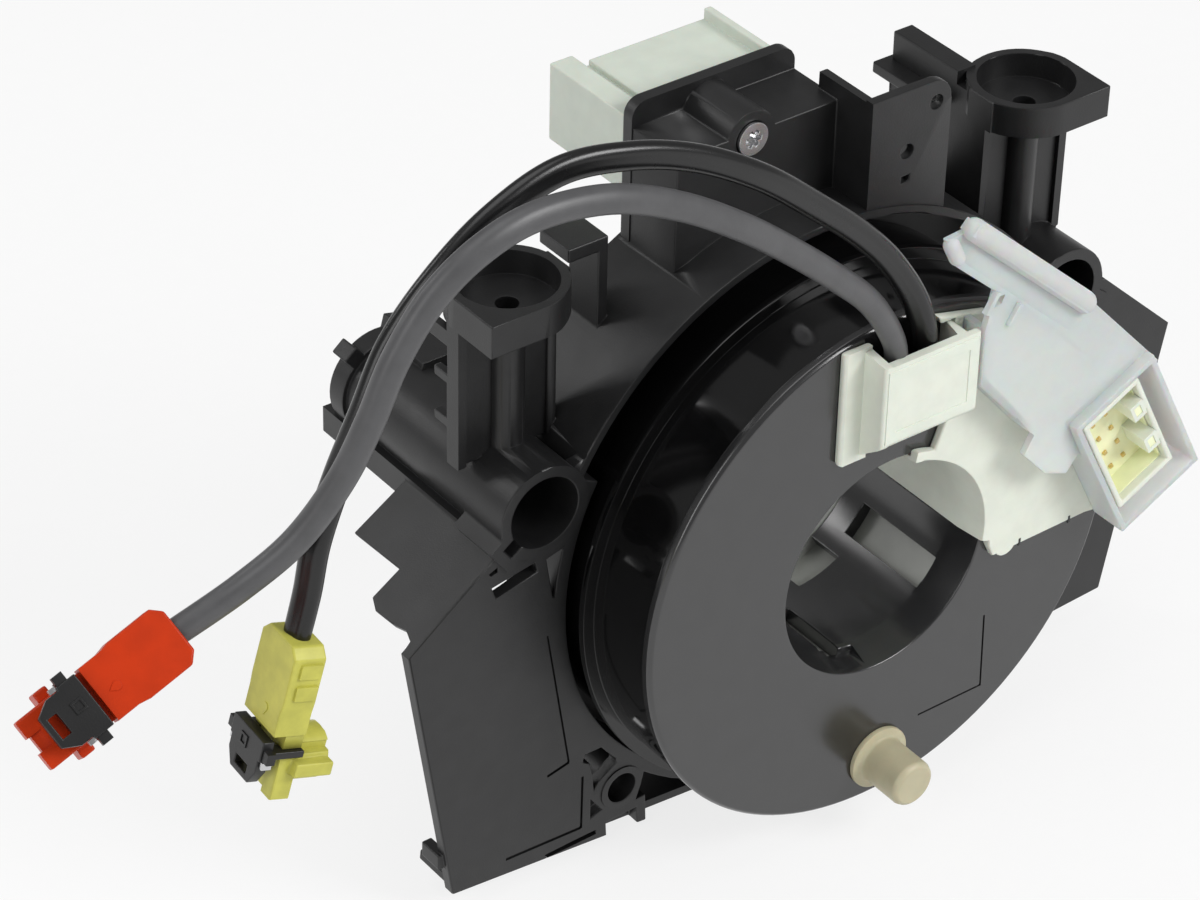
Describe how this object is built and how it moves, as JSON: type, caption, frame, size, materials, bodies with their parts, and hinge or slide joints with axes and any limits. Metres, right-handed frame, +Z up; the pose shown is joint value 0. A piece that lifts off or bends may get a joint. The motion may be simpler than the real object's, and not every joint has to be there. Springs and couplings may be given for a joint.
{
  "type": "steering clock spring",
  "caption": "Steering clock spring: ribbed black switch housing, glossy drum and turning disc with open bore, white connectors and sheathed squib leads.",
  "frame": {"origin": "on the steering axis, in the plane of the turning disc's front face", "axes": "+Y back down the column along the steering axis, +X towards the right screw tube as seen from the driver's seat, +Z up along the two towers"},
  "size_m": [0.2439, 0.0814, 0.159],
  "materials": {
    "black_housing": "matt moulded texture",
    "black_gloss": "polished",
    "zinc": "zinc plated",
    "ribbon": "film",
    "milky_white": "moulded",
    "terminals": "tinned edge",
    "dark_satin": "satin",
    "hub_grey": "moulded",
    "off_white": "moulded",
    "frosted": "frosted, part clear",
    "cream": "moulded",
    "grey_sheath": "satin sheath",
    "black_sheath": "gloss sheath",
    "orange": "moulded",
    "black_lock": "moulded",
    "yellow_green": "moulded"
  },
  "bodies": {
    "base": {"housing": "black_housing", "cassette_case": "black_gloss", "cassette_screws": "zinc", "ribbon_cable": "ribbon", "rear_connector": "milky_white", "rear_terminals": "terminals", "connector_screw": "zinc"},
    "rotor": {"rotor_disc": "dark_satin", "hub_sleeve": "hub_grey", "connector_base": "off_white", "socket_terminals": "terminals", "socket_cover": "frosted", "cord_clip": "off_white", "drive_pin": "cream", "grey_cord": "grey_sheath", "black_cord": "black_sheath", "orange_plug": "orange", "orange_contacts": "terminals", "yellow_plug": "yellow_green", "yellow_contacts": "terminals"},
    "orange_slide": {"orange_lock": "black_lock"},
    "yellow_slide": {"yellow_lock": "black_lock"}
  },
  "joints": [
    {"name": "rotor_spin", "type": "hinge", "parent": "base", "child": "rotor", "pos_m": [0, 0, 0], "axis": [0, 1, 0], "range_deg": [-900, 900]},
    {"name": "orange_lock_push", "type": "slide", "parent": "rotor", "child": "orange_slide", "axis": [0.2637, 0.7043, -0.6592], "range_m": [0, 0.0018]},
    {"name": "yellow_lock_push", "type": "slide", "parent": "rotor", "child": "yellow_slide", "axis": [0.9535, -0.0953, -0.286], "range_m": [0, 0.0018]}
  ]
}
